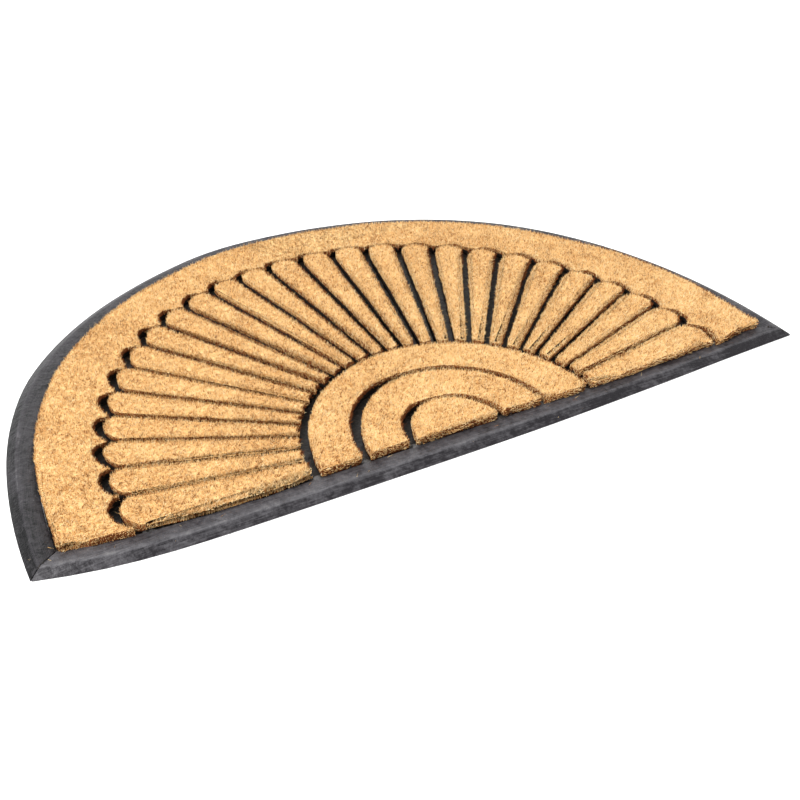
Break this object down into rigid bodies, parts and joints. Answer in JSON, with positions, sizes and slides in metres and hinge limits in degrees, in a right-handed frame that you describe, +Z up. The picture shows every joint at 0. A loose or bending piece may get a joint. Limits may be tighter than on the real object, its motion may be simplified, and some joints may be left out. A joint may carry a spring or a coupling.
{
  "type": "doormat",
  "caption": "Half-round doormat of coir pile in a black rubber tray with a bevelled border; grooves cut the pile into a fan of rays round two arches and a half disc.",
  "frame": {"origin": "middle of the footprint, on the underside", "axes": "+X along the straight front edge to the right, +Y towards the crown of the arc, +Z up"},
  "size_m": [0.7018, 0.4148, 0.012],
  "materials": {
    "rubber": "dull black moulded rubber",
    "coir": "natural coconut fibre pile"
  },
  "bodies": {
    "root": {"backing": "rubber", "border_arc": "rubber", "border_front": "rubber", "coir_band": "coir", "ray_01": "coir", "ray_02": "coir", "ray_03": "coir", "ray_04": "coir", "ray_05": "coir", "ray_06": "coir", "ray_07": "coir", "ray_08": "coir", "ray_09": "coir", "ray_10": "coir", "ray_11": "coir", "ray_12": "coir", "ray_13": "coir", "ray_14": "coir", "ray_15": "coir", "ray_16": "coir", "ray_17": "coir", "ray_18": "coir", "ray_19": "coir", "ray_20": "coir", "ray_21": "coir", "ray_22": "coir", "ray_23": "coir", "ray_24": "coir", "ray_25": "coir", "ray_26": "coir", "arch_outer": "coir", "arch_middle": "coir", "half_disc": "coir"}
  },
  "joints": []
}
